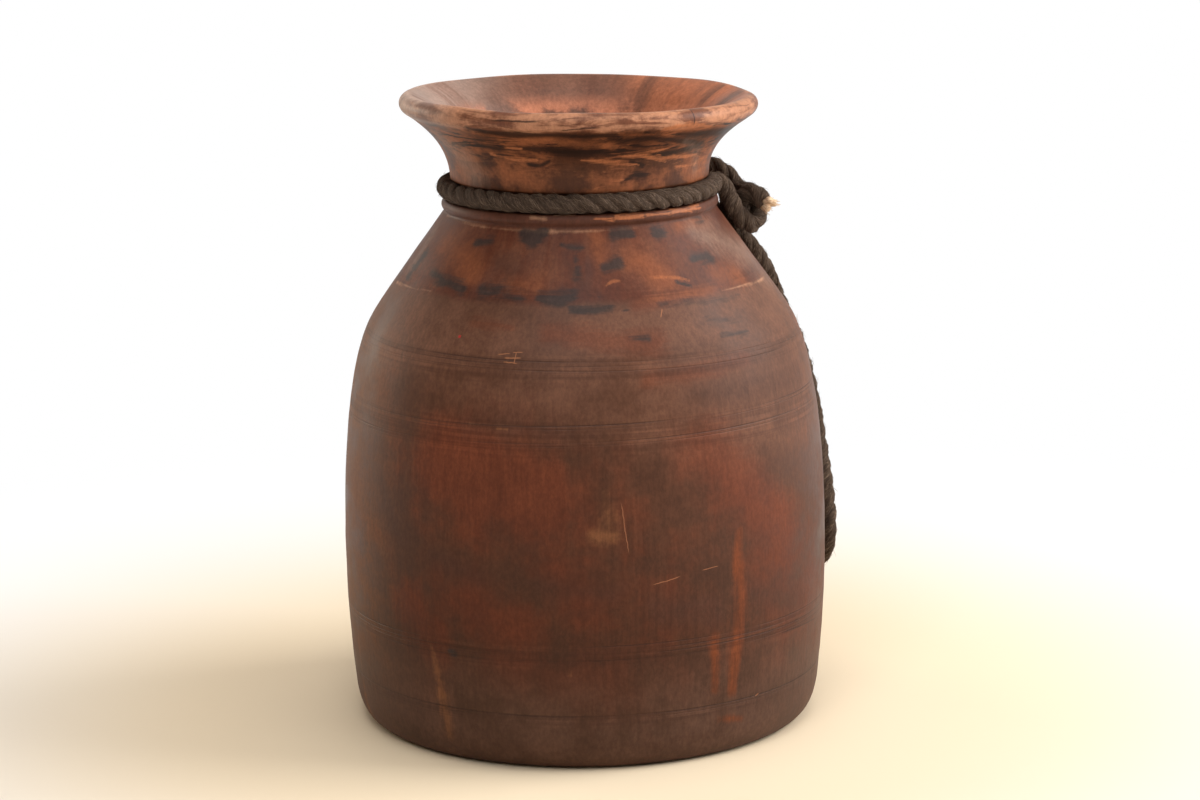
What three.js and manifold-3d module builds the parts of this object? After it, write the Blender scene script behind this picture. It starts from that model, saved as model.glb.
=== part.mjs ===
// A turned wooden milk pot with its rope: a wide-mouthed pot hollowed from one block of wood, a rope tied
// round its neck in a half knot, and a carrying loop that hangs from the knot down the belly.
// Millimetres, +Z up. The origin is the middle of the flat foot that the pot stands on.

import * as THREE from 'three';
import { mergeVertices } from 'three/addons/utils/BufferGeometryUtils.js';
import Module from 'manifold-3d';

const wasm = await Module();
wasm.setup();

// Outside of the pot, from the foot up
const FOOT_RADIUS = 116;
const HEEL_RADIUS = 127.4;
const HEEL_HEIGHT = 18;
const BELLY_RADIUS = 131.6;
const BELLY_HEIGHT = 92;
const SHOULDER_RADIUS = 116.4;
const SHOULDER_HEIGHT = 216;
const SHOULDER_ROUND = 16.7;
const SHOULDER_ROUND_RISE = 25.5;
const SHOULDER_TOP_HEIGHT = 277.6;
const COLLAR_ROOT = 1.6;
const COLLAR_BULGE = 5;
const LOWER_BELLY_FULLNESS = 0.4;
const UPPER_BELLY_FULLNESS = 0.42;

// Neck and mouth, stacked on the top of the shoulder
const ROPE_SEAT_RADIUS = 72;
const ROPE_SEAT_RISE = 12.9;
const SEAT_LOWER_ANGLE = -80;
const SEAT_UPPER_ANGLE = -245;
const LIP_RADIUS = 91.3;
const LIP_RISE = 44.3;
const LIP_ROUND = 5.2;
const LIP_LOWER_ANGLE = -60;
const LIP_INNER_ANGLE = 115;

// Hollow of the pot
const WALL = 11;
const FLOOR = 18;
const FLOOR_RADIUS = 94;
const FLOOR_CORNER = 18;
const THROAT_RADIUS = 58;
const THROAT_LENGTH = 17;

// Rope
const ROPE_DIAMETER = 10;
const ROPE_SIDES = 10;
const SEAT_CLEARANCE = 0.7;
const PIECE_GAP = 0.3;
const KNOT_ANGLE = 16;
const KNOT_OUT = 23.2;
const KNOT_DROP = 17.3;
const KNOT_HALF_DEPTH = 6;
const KNOT_HALF_HEIGHT = 8.6;
const KNOT_LEAD = 28;
const BACK_STRAND = { fromTurn: 62, toTurn: 375, past: -10.68, points: 17 };
const FRONT_STRAND = { fromTurn: 240, toTurn: 515, past: -10.83, points: 14 };

// Frayed end of the rope
const STRAND_COUNT = 3;
const STRAND_DIAMETER = 4.2;
const STRAND_TIP_DIAMETER = 2.4;
const STRAND_LENGTH = 6.5;
const STRAND_SPREAD = 16;
const STRAND_OFFSET = 2.4;
const FRAY_ROOT_THICKNESS = 1.6;

const SEAT_HEIGHT = SHOULDER_TOP_HEIGHT + ROPE_SEAT_RISE;
const SEAT_ROUND = ROPE_DIAMETER / 2 + SEAT_CLEARANCE;
const LIP_HEIGHT = SEAT_HEIGHT + LIP_RISE;

function finish(name, color, roughness) {
  return new THREE.MeshStandardMaterial({ name, color, roughness, metalness: 0 });
}

const wood = finish('stained_wood', 0x7c4a35, 0.55);
const rope = finish('dark_rope', 0x3f3733, 0.95);
const fray = finish('frayed_fibre', 0xc6a183, 0.95);

const point = (radius, height) => new THREE.Vector2(radius, height);
const radians = THREE.MathUtils.degToRad;

function onRound(centre, radius, angle) {
  return point(centre.x + radius * Math.cos(radians(angle)), centre.y + radius * Math.sin(radians(angle)));
}

function arc(centre, radius, from, to) {
  return new THREE.EllipseCurve(centre.x, centre.y, radius, radius, radians(from), radians(to), to < from);
}

// Joins curves end to end, each in its own number of steps
function outline(stretches) {
  const points = [stretches[0][0].getPoint(0)];
  for (const [curve, steps] of stretches) {
    points.push(...curve.getPoints(steps).slice(1));
  }
  return points;
}

// Pot
// Turned outside and in from one block, so its section is one closed outline: flat foot, round belly,
// straight shoulder, a bead as a collar, the groove that holds the rope, flared neck, rolled lip, hollow.
function pot() {
  const heel = point(HEEL_RADIUS, HEEL_HEIGHT);
  const belly = point(BELLY_RADIUS, BELLY_HEIGHT);
  const shoulder = point(SHOULDER_RADIUS, SHOULDER_HEIGHT);
  const slopeFoot = point(SHOULDER_RADIUS - SHOULDER_ROUND, SHOULDER_HEIGHT + SHOULDER_ROUND_RISE);
  const slopeTop = point(ROPE_SEAT_RADIUS + COLLAR_ROOT, SHOULDER_TOP_HEIGHT);
  const seat = point(ROPE_SEAT_RADIUS, SEAT_HEIGHT);
  const seatLower = onRound(seat, SEAT_ROUND, SEAT_LOWER_ANGLE);
  const seatUpper = onRound(seat, SEAT_ROUND, SEAT_UPPER_ANGLE);
  const lip = point(LIP_RADIUS, LIP_HEIGHT);
  const lipLower = onRound(lip, LIP_ROUND, LIP_LOWER_ANGLE);
  const lipInner = onRound(lip, LIP_ROUND, LIP_INNER_ANGLE);

  const slope = slopeTop.clone().sub(slopeFoot).normalize();
  const inward = point(-slope.y, slope.x);
  const hollowSlopeFoot = slopeFoot.clone().addScaledVector(inward, WALL);
  const hollowSlopeTop = slopeTop.clone().addScaledVector(inward, WALL);
  const throatTop = point(THROAT_RADIUS, SEAT_HEIGHT + SEAT_ROUND * 2);
  const throatFoot = point(THROAT_RADIUS, throatTop.y - THROAT_LENGTH);
  const hollowShoulder = point(SHOULDER_RADIUS - WALL, SHOULDER_HEIGHT - WALL / 2);
  const hollowBelly = point(BELLY_RADIUS - WALL, BELLY_HEIGHT);
  const cornerTop = point(FLOOR_RADIUS + FLOOR_CORNER, FLOOR + FLOOR_CORNER * 0.75);
  const floorEdge = point(FLOOR_RADIUS, FLOOR);

  const bend = (...points) => new THREE.QuadraticBezierCurve(...points);
  const sweep = (...points) => new THREE.CubicBezierCurve(...points);
  const line = (...points) => new THREE.LineCurve(...points);
  const bellyReach = (belly.y - heel.y) * LOWER_BELLY_FULLNESS;
  const upperReach = (shoulder.y - belly.y) * UPPER_BELLY_FULLNESS;
  const lowerBelly = sweep(
    heel,
    point(HEEL_RADIUS + 2.2, heel.y + 20),
    point(belly.x, belly.y - bellyReach),
    belly,
  );
  const upperBelly = sweep(
    belly,
    point(belly.x + 0.2, belly.y + upperReach),
    point(shoulder.x + 11.6, shoulder.y - 27),
    shoulder,
  );
  const collar = bend(
    slopeTop,
    point(slopeTop.x - COLLAR_ROOT + COLLAR_BULGE, (slopeTop.y + seatLower.y) / 2),
    seatLower,
  );
  const flare = sweep(
    seatUpper,
    point(seatUpper.x + 0.4, seatUpper.y + 12.3),
    point(seatUpper.x + 6.4, lip.y - 15.8),
    lipLower,
  );
  const funnel = sweep(
    lipInner,
    point(lipInner.x - 9, lipInner.y - 4.2),
    point(throatTop.x + 7, lip.y - 7.8),
    throatTop,
  );
  const upperHollow = sweep(
    hollowShoulder,
    point(hollowBelly.x - 3.5, shoulder.y - 42),
    point(hollowBelly.x, hollowBelly.y + upperReach),
    hollowBelly,
  );
  const lowerHollow = sweep(
    hollowBelly,
    point(hollowBelly.x, hollowBelly.y - bellyReach),
    point(cornerTop.x + 5, cornerTop.y + 14),
    cornerTop,
  );
  const points = outline([
    [line(point(0, 0), point(FOOT_RADIUS, 0)), 1],
    [bend(point(FOOT_RADIUS, 0), point(HEEL_RADIUS - 2.6, 2), heel), 4],
    [lowerBelly, 5],
    [upperBelly, 7],
    [bend(shoulder, point(shoulder.x - 2.3, shoulder.y + 5.8), slopeFoot), 4],
    [line(slopeFoot, slopeTop), 1],
    [collar, 4],
    [arc(seat, SEAT_ROUND, SEAT_LOWER_ANGLE, SEAT_UPPER_ANGLE), 9],
    [flare, 6],
    [arc(lip, LIP_ROUND, LIP_LOWER_ANGLE, LIP_INNER_ANGLE), 7],
    [funnel, 7],
    [line(throatTop, throatFoot), 1],
    [bend(throatFoot, point(THROAT_RADIUS, (throatFoot.y + hollowSlopeTop.y) / 2), hollowSlopeTop), 3],
    [line(hollowSlopeTop, hollowSlopeFoot), 1],
    [bend(hollowSlopeFoot, point(hollowShoulder.x - 2, hollowShoulder.y + 9), hollowShoulder), 3],
    [upperHollow, 5],
    [lowerHollow, 4],
    [bend(cornerTop, point(FLOOR_RADIUS + FLOOR_CORNER * 0.65, FLOOR), floorEdge), 4],
    [line(floorEdge, point(0, FLOOR)), 1],
  ]);
  const turned = new THREE.LatheGeometry(points, 60);
  turned.rotateX(Math.PI / 2);
  return turned;
}

// Rope
// Its route round the pot is written as angle, distance out from the rope's seat on the neck, and
// height above that seat. The angle runs from +X, the right of the pot, towards its back.
function around([angle, out, rise]) {
  const radius = ROPE_SEAT_RADIUS + out;
  return new THREE.Vector3(
    radius * Math.cos(radians(angle)),
    radius * Math.sin(radians(angle)),
    SEAT_HEIGHT + rise,
  );
}

// A strand of the half knot winds round the knot's middle line, which follows the neck. Its turns are
// degrees about that line, and past is how far beyond the knot's middle it begins to wind.
function knotStrand({ fromTurn, toTurn, past, points }) {
  const route = [];
  for (let i = 0; i < points; i += 1) {
    const turn = fromTurn + (toTurn - fromTurn) * i / (points - 1);
    const along = past + (turn - fromTurn) / 360 * KNOT_LEAD;
    const angle = KNOT_ANGLE + THREE.MathUtils.radToDeg(along / (ROPE_SEAT_RADIUS + KNOT_OUT));
    const out = KNOT_OUT + KNOT_HALF_DEPTH * Math.cos(radians(turn));
    const rise = -KNOT_DROP + KNOT_HALF_HEIGHT * Math.sin(radians(turn));
    route.push([angle, out, rise]);
  }
  return route;
}

// A route whose steps follow its own points, so that they lie closer where the rope bends
class RopeRoute extends THREE.CatmullRomCurve3 {
  getUtoTmapping(share) {
    return share;
  }
}

function ropeAlong(points, stepsPerPoint) {
  const route = new RopeRoute(points, false, 'centripetal');
  const section = new THREE.Shape();
  section.absarc(0, 0, ROPE_DIAMETER / 2, 0, Math.PI * 2);
  return new THREE.ExtrudeGeometry(section, {
    curveSegments: ROPE_SIDES / 2,
    steps: (points.length - 1) * stepsPerPoint,
    extrudePath: route,
  });
}

// The point where a rope stops short of a round knee, with the knee's radius and the gap between them
function shortOf(knee, before) {
  return before.clone().sub(knee).setLength(ROPE_DIAMETER / 2 + PIECE_GAP).add(knee);
}

// The knees, where the carrying loop leaves the knot and comes back to it. It swings about both.
const FRONT_KNEE = [23.6, 25.4, -36.1];
const BACK_KNEE = [32.4, 25.4, -36.1];
const frontKnee = around(FRONT_KNEE);
const backKnee = around(BACK_KNEE);

// From the cut end, round the front strand of the knot, up over it and back to the seat on the neck
const cutEnd = [7.1, 29.6, -13.7];
const backStrandOut = [
  [26.8, 28.2, -8.9],
  [29.6, 24.6, -3.1],
  [34, 18.9, 0.9],
  [40, 12.4, 2],
  [46.5, 6.2, 1.3],
  [52.5, 2, 0.4],
  [58, 0.3, 0],
];
// From the front end of the neck's turn, down behind the knot and into it
const frontStrandIn = [
  [2.6, 0.3, 0.1],
  [5.8, 2.9, -0.3],
  [7.6, 7.4, -3.7],
  [7.7, 11, -9.1],
  [7.2, 14, -14.5],
  [7.6, 17, -19.9],
];
// Out of the knot, down to the front knee
const frontStrandOut = [
  [25.2, 17.6, -19.1],
  [25.8, 19.3, -25.3],
  [25.3, 21.6, -31],
];
const TURN_START = 64;
const TURN_END = 358;
const TURN_POINTS = 30;

function neckTurn() {
  const route = [];
  for (let i = 0; i < TURN_POINTS; i += 1) {
    route.push([TURN_START + (TURN_END - TURN_START) * i / (TURN_POINTS - 1), 0, 0]);
  }
  return route;
}

// Neck rope
// One unbroken rope: the cut end and back strand of the knot, once round the neck, then the front strand
const neckRopePoints = [
  cutEnd,
  ...knotStrand(BACK_STRAND),
  ...backStrandOut,
  ...neckTurn(),
  ...frontStrandIn,
  ...knotStrand(FRONT_STRAND),
  ...frontStrandOut,
].map(around);
neckRopePoints.push(shortOf(frontKnee, neckRopePoints.at(-1)));

// Least gap between turns of the neck rope, measured on points of its middle line
function leastGapToItself(points) {
  const samples = new RopeRoute(points, false, 'centripetal').getPoints(900);
  const travelled = [0];
  for (let i = 1; i < samples.length; i += 1) {
    travelled.push(travelled[i - 1] + samples[i].distanceTo(samples[i - 1]));
  }
  let least = Infinity;
  for (let i = 0; i < samples.length; i += 1) {
    for (let j = i + 1; j < samples.length; j += 1) {
      if (travelled[j] - travelled[i] > 1.8 * ROPE_DIAMETER) {
        least = Math.min(least, samples[i].distanceTo(samples[j]));
      }
    }
  }
  return { gap: least - ROPE_DIAMETER, length: travelled.at(-1) };
}

// Tucked end
// The loop's other leg comes up behind the knot, between the back strand and the neck, and ends there
const tuckedRoute = [
  [32.7, 20.4, -29.1],
  [32.9, 15.8, -22.1],
  [33, 12.2, -15.1],
  [33.1, 9.6, -8.5],
  [33.3, 6.9, -2.3],
  [33.6, 4.8, 3.7],
  [34, 4.5, 9.7],
  [34.4, 6.4, 15.7],
];
const tuckedPoints = tuckedRoute.map(around);
tuckedPoints.unshift(shortOf(backKnee, tuckedPoints[0]));

// Carrying loop
// A long drop of the same rope that lies against the shoulder and the belly, wider near its foot
const loopRoute = [
  FRONT_KNEE,
  [23.4, 30.4, -42.1],
  [24.2, 36.2, -49.5],
  [25.8, 41.9, -58],
  [27.4, 47.2, -67],
  [27.2, 52.2, -78.5],
  [23.6, 57.3, -96.5],
  [19.8, 61.9, -122.5],
  [16.4, 64.3, -152.5],
  [12.4, 65.4, -178.5],
  [11, 65.6, -194.5],
  [12.2, 65.6, -208.5],
  [17.2, 65.3, -219.5],
  [25, 65.1, -225.3],
  [33.5, 65.2, -222],
  [40, 65.5, -210.5],
  [42.5, 65.6, -194.5],
  [42, 65.3, -176.5],
  [39.6, 64.2, -150.5],
  [36.6, 61.8, -122.5],
  [34.2, 57.2, -96.5],
  [33.2, 52.2, -78.5],
  [33, 47.2, -67],
  [32.8, 41.9, -58],
  [32.6, 36.4, -49.5],
  [32.5, 30.6, -41.9],
  BACK_KNEE,
];

function asManifold(geometry) {
  const bare = geometry.clone();
  bare.deleteAttribute('normal');
  bare.deleteAttribute('uv');
  const joined = mergeVertices(bare, 1e-4);
  const corners = Array.from(joined.index.array);
  const kept = [];
  for (let i = 0; i < corners.length; i += 3) {
    const [a, b, c] = corners.slice(i, i + 3);
    if (a !== b && b !== c && c !== a) {
      kept.push(a, b, c);
    }
  }
  return new wasm.Manifold(new wasm.Mesh({
    numProp: 3,
    vertProperties: new Float32Array(joined.attributes.position.array),
    triVerts: new Uint32Array(kept),
  }));
}

function fused(geometries) {
  const [first, ...others] = geometries.map(asManifold);
  const solid = others.reduce((whole, other) => whole.add(other), first).getMesh();
  const geometry = new THREE.BufferGeometry();
  geometry.setAttribute('position', new THREE.BufferAttribute(new Float32Array(solid.vertProperties), 3));
  geometry.setIndex(new THREE.BufferAttribute(new Uint32Array(solid.triVerts), 1));
  geometry.computeVertexNormals();
  return geometry;
}

// The loop's ends are round, so that they turn in the knot without opening a gap
function carryingLoop(hinge) {
  const points = loopRoute.map((row) => around(row).sub(hinge));
  const ends = [points[0], points.at(-1)].map((end) => {
    const round = new THREE.SphereGeometry(ROPE_DIAMETER / 2, ROPE_SIDES * 2, ROPE_SIDES);
    return round.translate(end.x, end.y, end.z);
  });
  return fused([ropeAlong(points, 2), ...ends]);
}

// Frayed end
// The three strands of the rope open out where it was cut, bare of the dark colour of the rest
function frayedEnd() {
  const radius = ROPE_DIAMETER / 2;
  const root = new THREE.CylinderGeometry(radius * 0.9, radius, FRAY_ROOT_THICKNESS, ROPE_SIDES);
  root.translate(0, FRAY_ROOT_THICKNESS / 2, 0);
  const pieces = [root];
  for (let i = 0; i < STRAND_COUNT; i += 1) {
    const strand = new THREE.LatheGeometry([
      point(0, 0),
      point(STRAND_DIAMETER / 2, 0),
      point(STRAND_DIAMETER / 2, STRAND_LENGTH * 0.6),
      point(STRAND_TIP_DIAMETER / 2, STRAND_LENGTH),
      point(0, STRAND_LENGTH + STRAND_TIP_DIAMETER / 4),
    ], 10);
    strand.rotateZ(radians(-STRAND_SPREAD));
    strand.translate(STRAND_OFFSET, FRAY_ROOT_THICKNESS / 2, 0);
    strand.rotateY(i * Math.PI * 2 / STRAND_COUNT);
    pieces.push(strand);
  }
  return fused(pieces);
}

function piece(name, geometry, material) {
  const mesh = new THREE.Mesh(geometry, material.clone());
  mesh.name = name;
  return mesh;
}

// Assembly
// The rope turns round the neck as one, and the carrying loop swings on the knees that it holds.
const group = new THREE.Group();
group.name = 'milk_pot';
group.add(piece('pot', pot(), wood));

const ropeOnNeck = new THREE.Group();
ropeOnNeck.name = 'rope_on_neck';
ropeOnNeck.add(piece('neck_rope', ropeAlong(neckRopePoints, 2), rope));
ropeOnNeck.add(piece('tucked_end', ropeAlong(tuckedPoints, 2), rope));

const endDirection = neckRopePoints[0].clone().sub(neckRopePoints[1]).normalize();
const frayed = piece('frayed_end', frayedEnd(), fray);
frayed.position.copy(neckRopePoints[0]).addScaledVector(endDirection, PIECE_GAP);
frayed.quaternion.setFromUnitVectors(new THREE.Vector3(0, 1, 0), endDirection);
ropeOnNeck.add(frayed);

const hinge = frontKnee.clone().add(backKnee).multiplyScalar(0.5);
const swing = new THREE.Group();
swing.name = 'swing';
swing.position.copy(hinge);
swing.add(piece('carrying_loop', carryingLoop(hinge), rope));
ropeOnNeck.add(swing);
group.add(ropeOnNeck);

const wound = leastGapToItself(neckRopePoints);
console.log(`neck rope: ${wound.length.toFixed(0)} mm long, least gap to itself ${wound.gap.toFixed(2)} mm`);

export default group;
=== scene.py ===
import math

import bpy
import numpy as np
from mathutils import Matrix, Vector


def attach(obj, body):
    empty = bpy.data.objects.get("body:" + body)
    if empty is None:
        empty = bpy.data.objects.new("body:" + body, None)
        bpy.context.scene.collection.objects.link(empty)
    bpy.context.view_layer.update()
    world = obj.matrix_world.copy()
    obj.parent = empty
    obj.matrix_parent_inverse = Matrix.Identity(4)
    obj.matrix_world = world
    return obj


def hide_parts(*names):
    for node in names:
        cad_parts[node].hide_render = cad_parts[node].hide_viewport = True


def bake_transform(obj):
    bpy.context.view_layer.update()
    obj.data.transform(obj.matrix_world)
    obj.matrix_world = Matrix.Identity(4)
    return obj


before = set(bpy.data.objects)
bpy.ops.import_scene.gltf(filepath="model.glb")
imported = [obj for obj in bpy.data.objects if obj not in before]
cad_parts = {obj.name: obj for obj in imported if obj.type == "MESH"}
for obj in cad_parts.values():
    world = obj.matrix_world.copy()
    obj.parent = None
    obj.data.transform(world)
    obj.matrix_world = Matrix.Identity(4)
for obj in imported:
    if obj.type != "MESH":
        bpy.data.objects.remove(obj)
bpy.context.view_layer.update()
scene = bpy.context.scene
scene.view_settings.view_transform = "Standard"


# Camera
# A long lens in front of the pot, a little above its mouth, tipped down and a shade off level.
camera_distance = 1.872
camera_height = 0.5595
camera_dip = math.radians(11.7)
camera_lean = math.radians(0.9)
photo_width = 1200
lens_in_pixels = 3505.6
pot_left_of_middle = 17

camera_data = bpy.data.cameras.new("camera")
camera_data.lens = lens_in_pixels / photo_width * camera_data.sensor_width
camera_data.shift_x = pot_left_of_middle / photo_width
camera = bpy.data.objects.new("camera", camera_data)
ahead = Vector((0, math.cos(camera_dip), -math.sin(camera_dip)))
level_up = Vector((0, math.sin(camera_dip), math.cos(camera_dip)))
level_right = Vector((1, 0, 0))
camera_right = level_right * math.cos(camera_lean) - level_up * math.sin(camera_lean)
camera_up = level_right * math.sin(camera_lean) + level_up * math.cos(camera_lean)
camera_axes = Matrix((camera_right, camera_up, -ahead)).transposed().to_4x4()
camera.matrix_world = Matrix.Translation((0, -camera_distance, camera_height)) @ camera_axes
scene.collection.objects.link(camera)
scene.camera = camera


# Rope route
# One length of rope, hand laid from plant fibre. It is tied round the neck in a half knot, drops as a
# carrying loop down the belly, and its other end is pushed up between the knot and the neck.
seat_radius = 0.072
seat_height = 0.2905
knot_angle = 16
knot_out = 0.0232
knot_drop = 0.0173
knot_half_depth = 0.006
knot_half_height = 0.0086
knot_lead = 0.028
rope_step = 0.001

cut_end = (7.1, 0.0296, -0.0137)
back_strand_out = [
    (26.6, 0.0258, -0.0112),
    (29.2, 0.0226, -0.0036),
    (33.4, 0.0172, 0.0018),
    (40, 0.0118, 0.0024),
    (46.5, 0.0062, 0.0013),
    (52.5, 0.002, 0.0004),
    (58, 0.0003, 0),
]
front_strand_in = [
    (2.6, 0.0003, 0.0001),
    (5.8, 0.0029, -0.0003),
    (7.6, 0.0062, -0.0035),
    (7.8, 0.0091, -0.0088),
    (7.4, 0.0116, -0.0144),
    (7.6, 0.0152, -0.02),
]
front_strand_out = [
    (25.2, 0.0176, -0.0191),
    (25.8, 0.0193, -0.0253),
    (25.3, 0.0216, -0.031),
]
front_knee = (23.6, 0.0254, -0.0361)
carrying_loop_route = [
    (23.4, 0.0304, -0.0421),
    (24.2, 0.0362, -0.0495),
    (25.8, 0.0424, -0.058),
    (27.4, 0.0478, -0.067),
    (27.2, 0.0528, -0.0785),
    (23.6, 0.0577, -0.0965),
    (19.8, 0.0619, -0.1225),
    (16.4, 0.0643, -0.1525),
    (12.4, 0.0654, -0.1785),
    (11, 0.0656, -0.1945),
    (12.2, 0.0656, -0.2085),
    (17.2, 0.0653, -0.2195),
    (25, 0.0651, -0.2253),
    (33.5, 0.0652, -0.222),
    (40, 0.0655, -0.2105),
    (42.5, 0.0656, -0.1945),
    (42, 0.0653, -0.1765),
    (39.6, 0.0642, -0.1505),
    (36.6, 0.0618, -0.1225),
    (34.2, 0.0576, -0.0965),
    (33.2, 0.0528, -0.0785),
    (33, 0.0478, -0.067),
    (32.8, 0.0424, -0.058),
    (32.6, 0.0364, -0.0495),
    (32.5, 0.0306, -0.0419),
]
back_knee = (32.4, 0.0254, -0.0361)
tucked_end_route = [
    (32.7, 0.0204, -0.0291),
    (32.9, 0.0158, -0.0221),
    (33, 0.0122, -0.0151),
    (33.1, 0.0096, -0.0085),
    (33.3, 0.0069, -0.0023),
    (33.6, 0.0048, 0.0037),
    (34, 0.0045, 0.0097),
    (34.4, 0.0064, 0.0157),
]


def around(angle, out, rise):
    turn = math.radians(angle)
    radius = seat_radius + out
    return np.array([radius * math.cos(turn), radius * math.sin(turn), seat_height + rise])


def knot_strand(from_turn, to_turn, past, points):
    """One strand of the half knot, wound round the knot's middle line."""
    rows = []
    for turn in np.linspace(from_turn, to_turn, points):
        along = past + (turn - from_turn) / 360 * knot_lead
        angle = knot_angle + math.degrees(along / (seat_radius + knot_out))
        out = knot_out + knot_half_depth * math.cos(math.radians(turn))
        rise = -knot_drop + knot_half_height * math.sin(math.radians(turn))
        rows.append((angle, out, rise))
    return rows


def smooth_route(points, per_span=12):
    """A smooth curve through the points, by the same rule as the solid's centripetal curve."""
    points = np.asarray(points)
    before = 2 * points[0] - points[1]
    after = 2 * points[-1] - points[-2]
    knots = np.vstack([before, points, after])
    curve = []
    for p0, p1, p2, p3 in zip(knots, knots[1:], knots[2:], knots[3:]):
        t1 = np.linalg.norm(p1 - p0) ** 0.5
        t2 = t1 + np.linalg.norm(p2 - p1) ** 0.5
        t3 = t2 + np.linalg.norm(p3 - p2) ** 0.5
        for t in np.linspace(t1, t2, per_span, endpoint=False):
            a1 = p0 + (p1 - p0) * t / t1
            a2 = p1 + (p2 - p1) * (t - t1) / (t2 - t1)
            a3 = p2 + (p3 - p2) * (t - t2) / (t3 - t2)
            b1 = a1 + (a2 - a1) * t / t2
            b2 = a2 + (a3 - a2) * (t - t1) / (t3 - t1)
            curve.append(b1 + (b2 - b1) * (t - t1) / (t2 - t1))
    curve.append(points[-1])
    return np.array(curve)


def run_length(curve):
    steps = np.linalg.norm(np.diff(curve, axis=0), axis=1)
    return np.concatenate([[0], np.cumsum(steps)])


def even_steps(curve, step):
    travelled = run_length(curve)
    count = int(round(travelled[-1] / step)) + 1
    places = np.linspace(0, travelled[-1], count)
    return np.stack([np.interp(places, travelled, curve[:, k]) for k in range(3)], axis=1)


# The knot's windings: from and to which turn, how far past its middle they start, and how many points.
back_winding = (62, 375, -0.01068, 17)
front_winding = (240, 515, -0.01083, 14)
neck_turn = [(angle, 0, 0) for angle in np.linspace(64, 358, 30)]
held_rows = [cut_end] + knot_strand(*back_winding) + back_strand_out + neck_turn + front_strand_in
held_rows += knot_strand(*front_winding) + front_strand_out
hanging_rows = [front_knee] + carrying_loop_route + [back_knee] + tucked_end_route
whole_rope = smooth_route([around(*row) for row in held_rows + hanging_rows])
whole_rope = even_steps(whole_rope, rope_step)
knee_step = int(np.argmin(np.linalg.norm(whole_rope - around(*front_knee), axis=1)))


# Laid rope
# Three dark strands twisted together to the right, each with its yarns turned the other way, so that
# the yarns lie nearly along the rope. Soot and handling have darkened it, and short fibres cover it.
strand_count = 3
strand_thickness = 0.0066
strand_offset = 0.0018
lay_length = 0.0275
strand_sides = 20
lay_waver = 0.16
lay_waver_length = 0.017
yarn_count = 6
yarn_twist = 0.62
yarn_ridge = 0.035
strand_flatness = 0.02
strand_roughness = 0.022
fibre_length = 0.0052
fibre_thickness = 0.00012
dice = np.random.default_rng(7)


def unit(vectors):
    return vectors / np.linalg.norm(vectors, axis=-1, keepdims=True)


def carried_sides(curve):
    """Directions across the curve that don't twist about it."""
    tangent = unit(np.gradient(curve, axis=0))
    side = np.zeros_like(curve)
    side[0] = unit(np.cross(tangent[0], (0, 0, 1)))
    for i in range(1, len(curve)):
        level = side[i - 1] - tangent[i] * side[i - 1].dot(tangent[i])
        side[i] = unit(level)
    return tangent, side, np.cross(tangent, side)


rope_run = run_length(whole_rope)
rope_tangent, rope_side, rope_other = carried_sides(whole_rope)


def strand_line(which):
    """The middle line of one strand and the direction from the rope's middle to it."""
    turn = math.tau * (which / strand_count + rope_run / lay_length)
    turn = turn + lay_waver * np.sin(rope_run / lay_waver_length + which * 2.1)
    outward = rope_side * np.cos(turn)[:, None] + rope_other * np.sin(turn)[:, None]
    return whole_rope + outward * strand_offset, outward


def tube_points(rings, sides, off, across):
    """For each point of a small tube: how far along it lies, its turn and its way out."""
    for ring in range(rings):
        for side in range(sides):
            turn = math.tau * side / sides
            yield ring / (rings - 1), turn, math.cos(turn) * off + math.sin(turn) * across


def tube_faces(rings, sides, start=0):
    faces = []
    for i in range(rings - 1):
        for j in range(sides):
            k = (j + 1) % sides
            a = start + i * sides
            faces.append((a + j, a + k, a + sides + k, a + sides + j))
    faces.append(tuple(start + j for j in reversed(range(sides))))
    faces.append(tuple(start + (rings - 1) * sides + j for j in range(sides)))
    return faces


def piece_from(name, vertices, faces, material, fields=None):
    """A mesh object with smooth faces and any named values on its points."""
    mesh = bpy.data.meshes.new(name)
    mesh.from_pydata(np.asarray(vertices).tolist(), [], faces)
    mesh.update()
    mesh.polygons.foreach_set("use_smooth", np.ones(len(mesh.polygons), bool))
    for field, values in (fields or {}).items():
        kind = "FLOAT_VECTOR" if values.ndim == 2 else "FLOAT"
        key = "vector" if values.ndim == 2 else "value"
        layer = mesh.attributes.new(field, kind, "POINT")
        layer.data.foreach_set(key, values.astype(np.float32).ravel())
    mesh.materials.append(material)
    made = bpy.data.objects.new(name, mesh)
    scene.collection.objects.link(made)
    return made


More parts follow.
